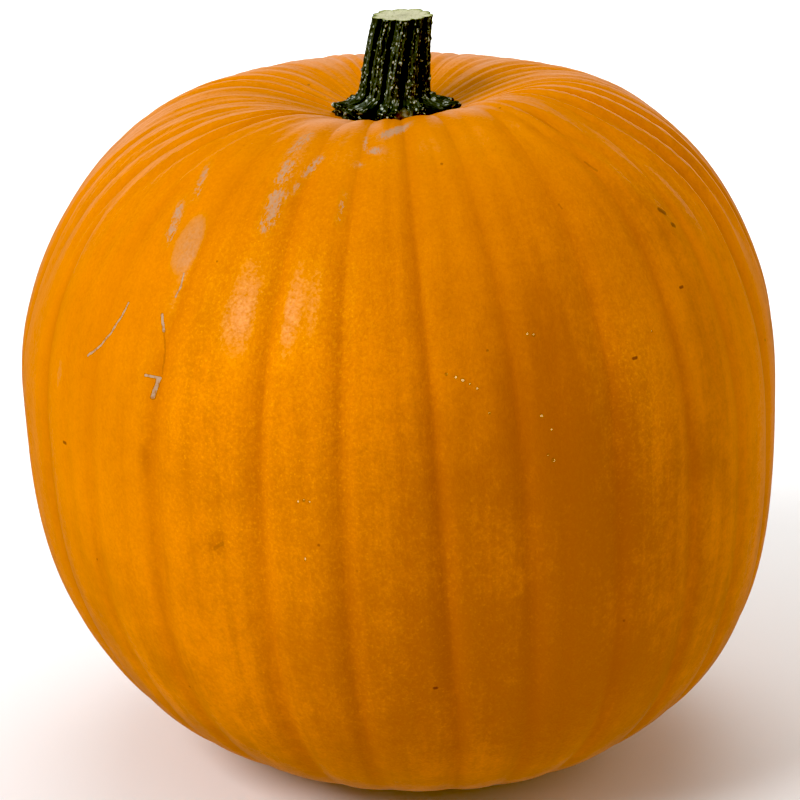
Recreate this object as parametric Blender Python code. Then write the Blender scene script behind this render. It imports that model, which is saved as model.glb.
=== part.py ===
"""Carving pumpkin: one ribbed fruit, and the cut stem that grows out of the basin in its top.

Metres, +Z up. The fruit rests on the flat spot round its blossom scar, at Z = 0, and the origin
is under its middle. The side that was photographed faces -Y. An azimuth turns from -Y to +X.
"""

import math
import random

import bmesh
import bpy

MM = 0.001

# The fruit's smooth outline: two superellipse halves that meet at its widest ring.
HALF_WIDTH = 150 * MM
UPPER_REACH = 138.2 * MM
LOWER_REACH = 154 * MM
UPPER_FULLNESS = 2.18
UPPER_FULLNESS_TO_THE_RIGHT = 0.13
LOWER_FULLNESS = 2.6
# The flat spot that it rests on cuts the lower half off at this radius.
RESTING_RADIUS = 44 * MM
WIDEST_AT = LOWER_REACH * (1 - (RESTING_RADIUS / HALF_WIDTH) ** LOWER_FULLNESS) ** (1 / LOWER_FULLNESS)

# The basin that the stem stands in. The rim round it isn't level: each swell is an azimuth and a rise.
BASIN_DEPTH = 32 * MM
BASIN_RADIUS = 54 * MM
FLOOR_RADIUS = 13 * MM
RIM_RADIUS = 62 * MM
RIM_WIDTH = 26 * MM
RIM_SWELLS = ((50.0, 4.5 * MM), (130.0, -1.3 * MM), (-140.0, -0.2 * MM))

# How far the fruit's middle line lies to the right of the origin: at its foot, belly and crown.
LEAN_AT_FOOT = 8.6 * MM
LEAN_AT_BELLY = -0.2 * MM
LEAN_AT_CROWN = -2.0 * MM

# A broad flatter place low on the left: its azimuth and climb, how far it spreads in each, and how
# deep it is. A climb goes up a rib in degrees, from the blossom scar, 0, to the stem, 180.
FLAT_SIDE_AT = (-90.0, 60.0)
FLAT_SIDE_SPREAD = (34.0, 15.0)
FLAT_SIDE_DEPTH = 3.4 * MM

# The blossom scar: a dimple in the resting spot, with a corky button at its centre.
SCAR_RADIUS = 13 * MM
SCAR_DEPTH = 2.4 * MM
BUTTON_RADIUS = 4.5 * MM
BUTTON_HEIGHT = 1.2 * MM

# The furrows seen from the front: azimuth in degrees, drift to the right from belly to crown in
# degrees, and depth. Those round the back follow at an even pace, with a seeded variation.
FRONT_FURROWS = (
    (-79.0, -4.0, 1.5 * MM),
    (-64.0, -3.0, 1.6 * MM),
    (-50.0, 1.0, 1.0 * MM),
    (-37.0, 3.5, 1.7 * MM),
    (-19.7, 1.0, 2.4 * MM),
    (-7.8, -0.4, 2.5 * MM),
    (4.5, -2.8, 2.3 * MM),
    (17.8, -3.4, 1.7 * MM),
    (32.2, -1.2, 2.0 * MM),
    (46.5, -3.0, 1.9 * MM),
    (59.0, -3.0, 1.3 * MM),
    (72.0, -3.0, 1.5 * MM),
)
BACK_FURROWS = 13
BACK_JITTER = 2.4
BACK_DEPTH = (1.3 * MM, 2.4 * MM)
BACK_DRIFT = (-3.0, 1.0)
FURROW_SEED = 7

# A rib's cross section: most of a furrow's depth is a soft valley, and the rest is the rib's own crown.
# The valley's width is a share of the rib's at the belly, and grows as the ribs narrow above and below.
VALLEY_SHARE = 0.78
VALLEY_WIDTH = 0.12
MOST_WIDENING = 2.2
# The furrows grow shallower over these climbs, down to a share of their depth at the basin's rim.
# The share is smaller at the front, which is smooth there.
FADE_TO_RIM = (90.0, 142.0)
LEFT_AT_FRONT_RIM = 0.35
LEFT_AT_BACK_RIM = 0.55
FADE_IN_BASIN = (FLOOR_RADIUS, 50 * MM)
FADE_AT_FOOT = (RESTING_RADIUS, 125 * MM)
FOOT_FADE_POWER = 1.5

# The stem: a shaft of ridges on a foot that spreads over the basin's floor.
STEM_TOP = 300 * MM
SHAFT_RADIUS_AT_CUT = 12.4 * MM
SHAFT_TAPER = 2.9 * MM
SHAFT_BOW = 2.75 * MM
BOW_POWER = 2.3
RIDGES = 10
FIRST_GROOVE = -21.0
GROOVE_PITCH = 360.0 / RIDGES
STEM_TWIST = 14.0
GROOVE_DEPTH = 3.7 * MM
SMALL_RIDGE_DROP = 0.9 * MM
RIDGE_BREADTH = 0.62
# The foot: how far it reaches in the grooves, how much further each ridge's root goes, the height
# over which the shaft widens into it, and how much of the grooves' depth is lost there.
FOOT_RADIUS = 19.0 * MM
ROOT_REACHES = tuple(mm * MM for mm in (4.0, 0.5, 9.5, 5.0, 3.0, 1.5, 5.0, 2.0, 5.5, 7.5))
FOOT_EDGE = 0.9 * MM
FOOT_FLARE = 9.0 * MM
FLARE_POWER = 4
GROOVE_LOSS_IN_FOOT = 0.5
GROOVE_PINCH_IN_FOOT = 0.2
# The cut across its top, and the hair of space under it.
CUT_BEVEL = 0.5 * MM
CUT_TILT = 0.03
SEAT_GAP = 0.3 * MM

# How finely the surfaces are divided.
RIB_STEPS = (0.0, 0.14, 0.38, 0.62, 0.86)
RIDGE_STEPS = (0.0, 0.16, 0.34, 0.5, 0.66, 0.84)
SIDE_RINGS = 15
SIDE_FROM = 56 * MM
SIDE_TO = 122 * MM
CROWN_RINGS = tuple(mm * MM for mm in (110, 98, 86, 75, 65, 56, 48, 40, 33, 26, 19)) + (FLOOR_RADIUS,)
SCAR_RINGS = tuple(mm * MM for mm in (3.2, 4.4, 5.2, 9)) + (SCAR_RADIUS, RESTING_RADIUS)
UNDERSIDE_STEPS = (0.8, 0.96)
SHAFT_STEPS = (0.04, 0.08, 0.13, 0.18, 0.24, 0.31, 0.4, 0.6, 0.8)
SLOPE_STEP = 0.05 * MM
SHARP_ANGLE = math.radians(50)


def smooth_step(low, high, value):
    """0 below low, 1 above high, and an even S between them."""
    share = min(1.0, max(0.0, (value - low) / (high - low)))
    return share * share * (3 - 2 * share)


def lean(rise):
    """How far to the right the middle line is: rise is -1 at the foot, 0 at the belly, 1 at the crown."""
    tilt = (LEAN_AT_CROWN - LEAN_AT_FOOT) / 2
    bow = (LEAN_AT_CROWN + LEAN_AT_FOOT) / 2 - LEAN_AT_BELLY
    return LEAN_AT_BELLY + tilt * rise + bow * rise * rise


def climb_of(reach, upper):
    """How far up a rib a point is, in degrees."""
    climb = math.degrees(math.asin(min(1.0, reach / HALF_WIDTH)))
    return 180 - climb if upper else climb


def flatter(azimuth, climb):
    """How far in the broad flatter place is there."""
    aside = (azimuth - FLAT_SIDE_AT[0] + 180) % 360 - 180
    above = climb - FLAT_SIDE_AT[1]
    fall = (aside / FLAT_SIDE_SPREAD[0]) ** 2 + (above / FLAT_SIDE_SPREAD[1]) ** 2
    return FLAT_SIDE_DEPTH * math.exp(-fall)


def crown_relief(reach, turn):
    """How far the basin and the swells of its rim raise or lower the upper half."""
    basin = BASIN_DEPTH * math.exp(-((reach / BASIN_RADIUS) ** 2))
    swell = sum(lift * max(0.0, math.cos(turn - math.radians(side))) ** 3 for side, lift in RIM_SWELLS)
    return swell * math.exp(-(((reach - RIM_RADIUS) / RIM_WIDTH) ** 2)) - basin


def smooth_point(reach, azimuth, upper):
    """A point of the fruit's smooth outline, reach out from its middle line, in its upper or lower half."""
    turn = math.radians(azimuth)
    fullness = UPPER_FULLNESS + UPPER_FULLNESS_TO_THE_RIGHT * math.sin(turn) if upper else LOWER_FULLNESS
    rise = max(0.0, 1 - (reach / HALF_WIDTH) ** fullness) ** (1 / fullness)
    if upper:
        height = WIDEST_AT + UPPER_REACH * rise + crown_relief(reach, turn)
    else:
        rise = -rise
        height = WIDEST_AT + LOWER_REACH * rise
    reach -= flatter(azimuth, climb_of(reach, upper))
    return reach * math.sin(turn) + lean(rise), -reach * math.cos(turn), height


def smooth_normal(reach, azimuth, upper):
    """The outward direction of the smooth outline there, from its slope along the meridian."""
    near = max(0.0, reach - SLOPE_STEP)
    far = min(HALF_WIDTH, reach + SLOPE_STEP)
    run = far - near if upper else near - far
    climb = smooth_point(far, azimuth, upper)[2] - smooth_point(near, azimuth, upper)[2]
    length = math.hypot(run, climb)
    outward = -climb / length if upper else climb / length
    turn = math.radians(azimuth)
    return outward * math.sin(turn), -outward * math.cos(turn), run / length


def furrows():
    """Every furrow round the fruit as (azimuth, drift, depth), in order of azimuth."""
    draw = random.Random(FURROW_SEED)
    first, last = FRONT_FURROWS[-1][0], FRONT_FURROWS[0][0] + 360
    pitch = (last - first) / (BACK_FURROWS + 1)
    back = []
    for place in range(1, BACK_FURROWS + 1):
        azimuth = first + pitch * place + draw.uniform(-BACK_JITTER, BACK_JITTER)
        back.append((azimuth, draw.uniform(*BACK_DRIFT), draw.uniform(*BACK_DEPTH)))
    return list(FRONT_FURROWS) + back


def rib_columns():
    """Each column of the skin as the furrow on its left, the one on its right, and its share between."""
    cuts = furrows()
    columns = []
    for number, left in enumerate(cuts):
        right = cuts[(number + 1) % len(cuts)]
        if number == len(cuts) - 1:
            right = (right[0] + 360, right[1], right[2])
        columns += [(left, right, share) for share in RIB_STEPS]
    return columns


def furrow_share(share, reach):
    """How much of the furrows' depth there is at a share of the way across a rib."""
    nearest = min(share, 1 - share)
    width = VALLEY_WIDTH * min(MOST_WIDENING, HALF_WIDTH / reach)
    valley = math.exp(-((nearest / width) ** 2))
    return VALLEY_SHARE * valley + (1 - VALLEY_SHARE) * (1 - 2 * nearest) ** 2


def fruit_point(column, reach, upper):
    """A point of the ribbed skin: the smooth outline, pushed in where a furrow runs."""
    left, right, share = column
    rise = max(0.0, 1 - (reach / HALF_WIDTH) ** 2) ** 0.5 * (1 if upper else -1)
    azimuths = [azimuth + drift * rise for azimuth, drift, _ in (left, right)]
    azimuth = azimuths[0] + (azimuths[1] - azimuths[0]) * share
    depth = left[2] + (right[2] - left[2]) * share
    dip = depth * furrow_share(share, reach)
    if upper:
        frontal = max(0.0, math.cos(math.radians(azimuth))) ** 2
        left_at_rim = LEFT_AT_BACK_RIM + (LEFT_AT_FRONT_RIM - LEFT_AT_BACK_RIM) * frontal
        dip *= 1 - (1 - left_at_rim) * smooth_step(*FADE_TO_RIM, climb_of(reach, upper))
        dip *= smooth_step(*FADE_IN_BASIN, reach)
    else:
        dip *= smooth_step(*FADE_AT_FOOT, reach) ** FOOT_FADE_POWER
    point = smooth_point(reach, azimuth, upper)
    outward = smooth_normal(reach, azimuth, upper)
    return [place - dip * part for place, part in zip(point, outward)]


def resting_point(column, reach):
    """A point of the fruit's underside, with the flat resting spot and the blossom scar in it."""
    across, along, _ = fruit_point(column, reach, upper=False)
    height = SCAR_DEPTH * (1 - smooth_step(BUTTON_RADIUS, SCAR_RADIUS, reach))
    if reach < BUTTON_RADIUS:
        height -= BUTTON_HEIGHT
    return across, along, height


def fruit_rings():
    """The skin as rings of points, from the button of the blossom scar up to the floor of the basin."""
    columns = rib_columns()
    rings = [[resting_point(column, reach) for column in columns] for reach in SCAR_RINGS]
    low = math.acos(SIDE_FROM / HALF_WIDTH)
    high = math.acos(SIDE_TO / HALF_WIDTH)
    for number in range(SIDE_RINGS + 1):
        latitude = -low + (low + high) * number / SIDE_RINGS
        reach = HALF_WIDTH * math.cos(latitude)
        rings.append([fruit_point(column, reach, upper=latitude > 0) for column in columns])
    rings += [[fruit_point(column, reach, upper=True) for column in columns] for reach in CROWN_RINGS]
    return rings


def shaft_radius(climb):
    """The stem's radius over its ridges: climb is 0 at the foot and 1 at the cut."""
    return SHAFT_RADIUS_AT_CUT + SHAFT_TAPER * (1 - climb)


def ridge_columns():
    """Each column of the stem as its azimuth, its share of a groove's depth, its drop and its root."""
    columns = []
    for ridge in range(RIDGES):
        for share in RIDGE_STEPS:
            azimuth = FIRST_GROOVE + GROOVE_PITCH * (ridge + share)
            crown = (4 * share * (1 - share)) ** RIDGE_BREADTH
            drop = SMALL_RIDGE_DROP * (ridge % 2) * crown
            columns.append((azimuth, 1 - crown, drop, FOOT_RADIUS + ROOT_REACHES[ridge] * crown))
    return columns


def stem_rings():
    """The stem as rings of points: its underside outwards, its foot, its shaft, and in over the cut."""
    columns = ridge_columns()
    floor = smooth_point(0.0, 0.0, True)
    tall = STEM_TOP - floor[2]

    def on_seat(column, reach, lift):
        """A point over the basin's floor."""
        across, along, height = smooth_point(reach, column[0], True)
        return across, along, height + lift

    def on_shaft(column, climb, inset=0.0):
        """A point of the shaft's side, where the foot's flare runs out upwards into the ridges."""
        azimuth, groove, drop, root = column
        up = tall * climb
        spread = math.exp(-((up / FOOT_FLARE) ** FLARE_POWER))
        dent = GROOVE_DEPTH * groove * (1 - GROOVE_LOSS_IN_FOOT * spread)
        plain = shaft_radius(climb) - dent - drop - inset
        reach = plain + (root - plain) * spread * (1 - GROOVE_PINCH_IN_FOOT * groove)
        turn = math.radians(azimuth + STEM_TWIST * (climb - 0.5))
        seat = smooth_point(reach, azimuth, True)[2] - floor[2]
        across = floor[0] + reach * math.sin(turn) + SHAFT_BOW * climb ** BOW_POWER
        height = floor[2] + up + seat * spread
        if climb == 1:
            height += CUT_TILT * (across - floor[0])
        return across, floor[1] - reach * math.cos(turn), height

    rings = [[on_seat(column, FLOOR_RADIUS, SEAT_GAP) for column in columns]]
    for share in UNDERSIDE_STEPS:
        rings.append([on_seat(column, column[3] * share, SEAT_GAP) for column in columns])
    rings.append([on_seat(column, column[3], SEAT_GAP + FOOT_EDGE) for column in columns])
    rings += [[on_shaft(column, climb) for column in columns] for climb in SHAFT_STEPS]
    rings.append([on_shaft(column, 1 - CUT_BEVEL / tall) for column in columns])
    rings.append([on_shaft(column, 1, inset=CUT_BEVEL) for column in columns])
    return rings


def solid_of_rings(name, rings, material):
    """Joins rings of points into one closed body, with a flat cap on the first and the last."""
    shape = bmesh.new()
    loops = [[shape.verts.new(point) for point in ring] for ring in rings]
    for lower, upper in zip(loops, loops[1:]):
        for here in range(len(lower)):
            there = (here + 1) % len(lower)
            shape.faces.new((lower[here], lower[there], upper[there], upper[here]))
    shape.faces.new(loops[0])
    shape.faces.new(loops[-1])
    bmesh.ops.recalc_face_normals(shape, faces=shape.faces)
    mesh = bpy.data.meshes.new(name)
    shape.to_mesh(mesh)
    shape.free()
    mesh.shade_smooth()
    mesh.set_sharp_from_angle(angle=SHARP_ANGLE)
    mesh.materials.append(material)
    body = bpy.data.objects.new(name, mesh)
    bpy.context.scene.collection.objects.link(body)
    return body


def plain_material(name, colour, roughness):
    material = bpy.data.materials.new(name)
    material.use_nodes = True
    shader = material.node_tree.nodes["Principled BSDF"]
    shader.inputs["Base Color"].default_value = (*colour, 1)
    shader.inputs["Roughness"].default_value = roughness
    shader.inputs["Metallic"].default_value = 0
    return material


def clear_scene():
    for thing in list(bpy.data.objects):
        bpy.data.objects.remove(thing)


def main():
    clear_scene()
    rind = plain_material("orange_rind", (0.64, 0.19, 0.002), 0.45)
    solid_of_rings("fruit", fruit_rings(), rind)
    bark = plain_material("green_stem", (0.02, 0.035, 0.015), 0.55)
    solid_of_rings("stem", stem_rings(), bark)


main()
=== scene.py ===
import math
import random

import bpy
import numpy as np
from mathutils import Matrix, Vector


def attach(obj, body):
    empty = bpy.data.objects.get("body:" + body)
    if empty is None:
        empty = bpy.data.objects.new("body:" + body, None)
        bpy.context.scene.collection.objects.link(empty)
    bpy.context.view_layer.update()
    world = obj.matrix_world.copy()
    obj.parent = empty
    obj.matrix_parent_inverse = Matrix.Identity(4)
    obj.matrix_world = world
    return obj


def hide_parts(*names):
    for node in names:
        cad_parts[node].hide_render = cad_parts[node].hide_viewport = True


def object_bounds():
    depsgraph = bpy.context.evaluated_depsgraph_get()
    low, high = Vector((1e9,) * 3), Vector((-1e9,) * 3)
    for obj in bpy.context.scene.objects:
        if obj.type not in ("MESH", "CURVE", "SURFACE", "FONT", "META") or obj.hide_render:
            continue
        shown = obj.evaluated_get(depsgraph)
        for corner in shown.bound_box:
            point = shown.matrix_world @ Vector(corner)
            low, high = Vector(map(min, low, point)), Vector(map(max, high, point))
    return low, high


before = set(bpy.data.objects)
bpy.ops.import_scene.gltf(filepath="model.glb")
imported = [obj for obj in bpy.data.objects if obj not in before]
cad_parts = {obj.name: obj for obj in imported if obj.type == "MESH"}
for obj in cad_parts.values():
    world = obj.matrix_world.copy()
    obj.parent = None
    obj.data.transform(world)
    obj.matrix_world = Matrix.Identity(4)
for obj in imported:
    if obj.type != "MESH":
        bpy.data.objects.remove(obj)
CAD_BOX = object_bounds()

# A ribbed pumpkin on a pale studio floor. Metres, +Z up. The photographed side faces -Y.
# An azimuth turns from -Y to +X, in degrees. A climb goes up a rib from the blossom end, 0, to the
# stem, 180, also in degrees.
MM = 0.001

# The fruit's smooth outline, as in the frame.
HALF_WIDTH = 150 * MM
UPPER_REACH = 138.2 * MM
LOWER_REACH = 154 * MM
UPPER_FULLNESS = 2.18
UPPER_FULLNESS_TO_THE_RIGHT = 0.13
LOWER_FULLNESS = 2.6
RESTING_RADIUS = 44 * MM
WIDEST_AT = LOWER_REACH * (1 - (RESTING_RADIUS / HALF_WIDTH) ** LOWER_FULLNESS) ** (1 / LOWER_FULLNESS)
BASIN_DEPTH = 32 * MM
BASIN_RADIUS = 54 * MM
FLOOR_RADIUS = 13 * MM
RIM_RADIUS = 62 * MM
RIM_WIDTH = 26 * MM
# Swells of the rim: azimuth and height.
RIM_SWELLS = ((50.0, 4.5 * MM), (130.0, -1.3 * MM), (-140.0, -0.2 * MM))
LEAN_AT_FOOT = 8.6 * MM
LEAN_AT_BELLY = -0.2 * MM
LEAN_AT_CROWN = -2.0 * MM
# A broad flat side low at the left: azimuth and climb of its middle, its spread in both, and its depth.
FLAT_SIDE_AT = (-90.0, 60.0)
FLAT_SIDE_SPREAD = (34.0, 15.0)
FLAT_SIDE_DEPTH = 3.4 * MM
# The blossom scar is a dimple with a button in its middle.
SCAR_RADIUS = 13 * MM
SCAR_DEPTH = 2.4 * MM
BUTTON_RADIUS = 4.5 * MM
BUTTON_HEIGHT = 1.2 * MM
BUTTON_EDGE = (BUTTON_RADIUS + 0.5 * MM, BUTTON_RADIUS - 0.8 * MM)
# The climb at the edge of the flat spot.
FLAT_EDGE = math.degrees(math.asin(RESTING_RADIUS / HALF_WIDTH))

# The furrows: azimuth, drift to the right from belly to crown, and depth.
FRONT_FURROWS = (
    (-79.0, -4.0, 1.4 * MM),
    (-64.0, -3.0, 1.5 * MM),
    (-50.0, 1.0, 0.9 * MM),
    (-37.0, 3.5, 1.5 * MM),
    (-19.4, 1.0, 1.9 * MM),
    (-7.8, -0.4, 1.5 * MM),
    (5.7, -3.4, 1.9 * MM),
    (17.9, -3.4, 1.4 * MM),
    (32.2, -1.2, 1.6 * MM),
    (46.5, -3.0, 1.6 * MM),
    (59.0, -3.0, 1.2 * MM),
    (72.0, -3.0, 1.4 * MM),
)
BACK_FURROWS = 13
BACK_JITTER = 2.4
BACK_DEPTH = (1.3 * MM, 2.4 * MM)
BACK_DRIFT = (-3.0, 1.0)
FURROW_SEED = 7
RIBS = len(FRONT_FURROWS) + BACK_FURROWS

# How the fine skin is divided.
STEPS_IN_RIB = 18
SKIN_RINGS = 214
FURROW_CLOSENESS = 0.35
FIRST_RING_RADIUS = 1.5 * MM
LAST_RING_RADIUS = 7 * MM
SKIN_SEED = 21

# How a furrow is shaped across its rib.
VALLEY_WIDTH = 0.12
VALLEY_SHARE = 0.74
MOST_WIDENING = 2.2
DEEP_FURROW = 2.5 * MM
# The share of its depth that a furrow keeps at the rim, and where it fades: climbs, then radii.
FADE_AT_FRONT_RIM = 0.52
FADE_AT_BACK_RIM = 0.24
FADE_TO_RIM = (90, 142)
FADE_IN_BASIN = (FLOOR_RADIUS, 50 * MM)
FADE_AT_FOOT = (RESTING_RADIUS, 125 * MM)
FOOT_FADE_POWER = 1.5
# A thin crease runs down the bottom of each furrow from the shoulder to the belly.
CREASE_DEPTH = 0.30 * MM
CREASE_WIDTH = 0.035
CREASE_CLIMBS = (88, 108)
# A minor furrow near each rib's middle: its place across, and its share of the depth.
MINOR_DEPTH = 0.55 * MM
MINOR_WIDTH = 0.085
MINOR_PLACES = (0.36, 0.64)
MINOR_SHARES = (0.3, 1.0)
MINOR_CLIMBS = (88, 128)
MINOR_BELOW = 0.35
MINOR_GAIN = 1.1

# Waves that make the finer relief: how many, how many folds round the fruit, and turns up it.
BROAD_PLEATS = (10, (46, 74), (-2, 2))
FINE_PLEATS = (10, (90, 130), (-2, 2))
PLEAT_BREAKS = (9, (3, 14), (-5, 5))
LUMPS = (14, (2, 12), (-11, 11))
LUMP_DEPTH = 0.5 * MM
LUMPS_END = (178, 158)
# Pleats run up the shoulders at the sides, and fade in between these angles from the front.
PLEAT_DEPTH = 1.15 * MM
FINE_PLEAT_SHARE = 0.25
HIGHEST_PLEAT = 0.75
PLEATED_FROM = 42
PLEATED_FULLY = 74
PLEATS_BEGIN = (102, 132)
PLEATS_END = (178, 162)
PLEATS_IN_FRONT = 0.04
LOSS_BEHIND = 0.7
# Cosines of the angle from the front between which a place comes to lie behind.
BEHIND = (-0.3, -0.9)
BREAK_RANGE = (-1.2, 0.8)
# Towards the stem the pleats bend away from the front by up to this many degrees.
PLEAT_BEND = 18.0
BEND_CLIMBS = (120, 164)
# Narrow folds near the left edge: azimuth, drift to the right with each degree of climb, the climbs
# that it runs between, and height. Then their half width, and how far they fade beyond and within
# their ends, in degrees.
SIDE_FOLDS = (
    (-66.0, -0.10, 48.0, 84.0, 0.8 * MM),
    (-71.5, -0.06, 55.0, 92.0, 0.9 * MM),
    (-76.0, -0.04, 60.0, 98.0, 0.6 * MM),
)
FOLD_WIDTH = 1.3
FOLD_BEYOND = 8
FOLD_WITHIN = 6
# Painted shade: how much darker a crease, a minor furrow and the valley between two pleats make the
# rind's colour.
CREASE_SHADE = 0.5
MINOR_SHADE = 0.3
PLEAT_SHADE = 0.45
PLEAT_VALLEY = (0.1, -1.0)


def smooth_step(low, high, value):
    """0 below low, 1 above high, and an even S between them."""
    share = np.clip((value - low) / (high - low), 0, 1)
    return share * share * (3 - 2 * share)


def turn_from(side, azimuth):
    """How far an azimuth is from a side, from -180 to 180 degrees."""
    return (azimuth - side + 180) % 360 - 180


def vectors(x, y, z):
    """One vector for each point, from grids that may have a single row or column."""
    return np.stack(np.broadcast_arrays(x, y, z), -1)


def lean(rise):
    """How far to the right the middle line is: rise is -1 at the foot, 0 at the belly, 1 at the crown."""
    tilt = (LEAN_AT_CROWN - LEAN_AT_FOOT) / 2
    bow = (LEAN_AT_CROWN + LEAN_AT_FOOT) / 2 - LEAN_AT_BELLY
    return LEAN_AT_BELLY + tilt * rise + bow * rise * rise


def smooth_skin(climb, azimuth):
    """Points of the smooth outline, with the last axis x, y, z."""
    turn = np.radians(azimuth)
    share = np.sin(np.radians(climb))
    reach = HALF_WIDTH * share
    upper = climb > 90
    rightward = UPPER_FULLNESS_TO_THE_RIGHT * np.sin(turn)
    fullness = np.where(upper, UPPER_FULLNESS + rightward, LOWER_FULLNESS)
    rise = np.maximum(0.0, 1 - share ** fullness) ** (1 / fullness)
    basin = BASIN_DEPTH * np.exp(-((reach / BASIN_RADIUS) ** 2))
    swell = sum(
        lift * np.maximum(0.0, np.cos(turn - math.radians(side))) ** 3 for side, lift in RIM_SWELLS
    )
    relief = swell * np.exp(-(((reach - RIM_RADIUS) / RIM_WIDTH) ** 2)) - basin
    height = WIDEST_AT + np.where(upper, UPPER_REACH * rise + relief, -LOWER_REACH * rise)
    aside = turn_from(FLAT_SIDE_AT[0], azimuth) / FLAT_SIDE_SPREAD[0]
    above = (climb - FLAT_SIDE_AT[1]) / FLAT_SIDE_SPREAD[1]
    reach = reach - FLAT_SIDE_DEPTH * np.exp(-(aside ** 2) - above ** 2)
    across = reach * np.sin(turn) + lean(np.where(upper, rise, -rise))
    return vectors(across, -reach * np.cos(turn), height)


def outward_of(points):
    """Unit vectors out of a grid of points whose rows go up and whose columns go round."""
    up = np.gradient(points, axis=0)
    around = np.roll(points, -1, axis=1) - np.roll(points, 1, axis=1)
    outward = np.cross(around, up)
    length = np.linalg.norm(outward, axis=-1, keepdims=True)
    return outward / np.maximum(length, 1e-12)


def waves(draw, azimuth, climb, height, count, folds, rows):
    """A sum of waves that close round the fruit.

    folds bounds how many folds a wave has round it, and rows how many turns it makes up it.
    """
    total = 0.0
    for _ in range(count):
        turns = draw.integers(*folds)
        ups = draw.uniform(*rows)
        angle = turns * np.radians(azimuth) + ups * np.radians(climb) + draw.uniform(0, 2 * math.pi)
        total = total + np.sin(angle)
    return height * total / math.sqrt(count)


def furrows():
    """Every furrow round the fruit as (azimuth, drift, depth), in order of azimuth."""
    draw = random.Random(FURROW_SEED)
    first, last = FRONT_FURROWS[-1][0], FRONT_FURROWS[0][0] + 360
    pitch = (last - first) / (BACK_FURROWS + 1)
    back = []
    for place in range(1, BACK_FURROWS + 1):
        azimuth = first + pitch * place + draw.uniform(-BACK_JITTER, BACK_JITTER)
        back.append((azimuth, draw.uniform(*BACK_DRIFT), draw.uniform(*BACK_DEPTH)))
    return list(FRONT_FURROWS) + back


def closed(grid):
    """A grid's vectors in one list, then the middle of its first ring and of its last."""
    return np.concatenate([grid.reshape(-1, 3), [grid[0].mean(0), grid[-1].mean(0)]])


def ring_faces(rings, columns):
    """Quads between rings of points, and a fan to one more point at each end."""
    faces = []
    for ring in range(rings - 1):
        low, high = ring * columns, (ring + 1) * columns
        for here in range(columns):
            there = (here + 1) % columns
            faces.append((low + here, low + there, high + there, high + here))
    first, last, top = rings * columns, rings * columns + 1, (rings - 1) * columns
    for here in range(columns):
        there = (here + 1) % columns
        faces.append((first, there, here))
        faces.append((last, top + here, top + there))
    return faces


def mesh_piece(name, grid, finish, maps):
    """A smooth-shaded piece from rings of points, closed at both ends, on the pumpkin's one body.

    maps has the vectors that its finish reads, by name, one for each point of the grid.
    """
    mesh = bpy.data.meshes.new(name)
    mesh.from_pydata(closed(grid).tolist(), [], ring_faces(*grid.shape[:2]))
    mesh.shade_smooth()
    mesh.materials.append(finish)
    piece = bpy.data.objects.new(name, mesh)
    bpy.context.scene.collection.objects.link(piece)
    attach(piece, "root")
    for label, values in maps.items():
        attribute = mesh.attributes.new(label, "FLOAT_VECTOR", "POINT")
        attribute.data.foreach_set("vector", np.ascontiguousarray(closed(values), np.float32).ravel())
    return piece


# Broad dry scars that break up into flakes: azimuth, climb, half length, half width and slant of
# each, and how much of it is covered. Lengths are in degrees of climb. A slant below 0 leans the top
# to the right.
SCARS = (
    (-25.0, 147.5, 5.5, 3.0, -8.0, 0.95),
    (-24.2, 140.5, 4.0, 3.2, 0.0, 1.00),
    (-23.6, 133.4, 5.5, 2.9, 4.0, 1.05),
    (-18.6, 142.2, 3.8, 2.0, -30.0, 1.00),
    (-20.6, 137.4, 2.6, 1.6, -20.0, 0.85),
    (-28.5, 140.5, 4.0, 2.2, -10.0, 0.55),
    (-43.2, 136.6, 5.0, 1.5, 26.0, 1.00),
    (-43.4, 129.0, 5.2, 1.9, 16.0, 1.05),
    (-37.4, 125.0, 6.0, 2.6, 8.0, 0.62),
    (0.4, 151.6, 6.5, 1.9, -62.0, 1.20),
    (5.0, 154.0, 3.4, 1.7, -62.0, 0.90),
    (-7.5, 148.0, 2.8, 1.1, 12.0, 1.00),
    (-4.6, 145.6, 1.2, 3.0, 0.0, 1.05),
    (-9.9, 134.0, 4.2, 1.3, 0.0, 0.85),
    (-8.2, 142.5, 1.1, 2.8, 0.0, 0.80),
    (-59.0, 101.2, 2.8, 1.0, 0.0, 0.85),
    (-13.0, 149.0, 3.0, 1.5, -20.0, 0.60),
)

# Broad patches of tone: azimuth, climb, half width and half height in degrees, and strength.
# The broad dark patches are painted shade. The three small ones are dark marks on the skin.
DARK_AND_SHADED_PATCHES = (
    (26.0, 84.0, 15.0, 20.0, 0.95),
    (24.0, 112.0, 9.0, 16.0, 0.60),
    (10.0, 76.0, 15.0, 20.0, 0.85),
    (-6.0, 72.0, 12.0, 14.0, 0.40),
    (48.0, 126.0, 6.0, 8.0, 0.35),
    (44.0, 76.0, 16.0, 18.0, 0.60),
    (-26.2, 87.0, 2.6, 0.9, 0.80),
    (-38.0, 93.5, 0.9, 2.4, 0.60),
    (21.8, 101.5, 2.2, 1.0, 0.50),
)
PALE_PATCHES = (
    (-30.0, 70.0, 16.0, 18.0, 0.50),
    (-21.0, 106.0, 12.0, 12.0, 0.85),
    (0.0, 106.0, 10.0, 12.0, 0.50),
    (70.0, 106.0, 22.0, 30.0, 1.00),
)
# Where the skin's grain is coarse and golden, with yellow specks that are partly painted glints on its
# lit side. Elsewhere it is fine and faint.
GRAIN_AND_GLINT_PATCHES = (
    (-22.0, 118.0, 15.0, 20.0, 1.00),
    (-24.0, 98.0, 13.0, 16.0, 0.85),
    (-4.0, 110.0, 12.0, 26.0, 0.55),
    (37.0, 101.0, 7.0, 14.0, 0.90),
    (0.0, 72.0, 34.0, 22.0, 0.35),
    (40.0, 128.0, 14.0, 10.0, 0.35),
)
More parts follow.
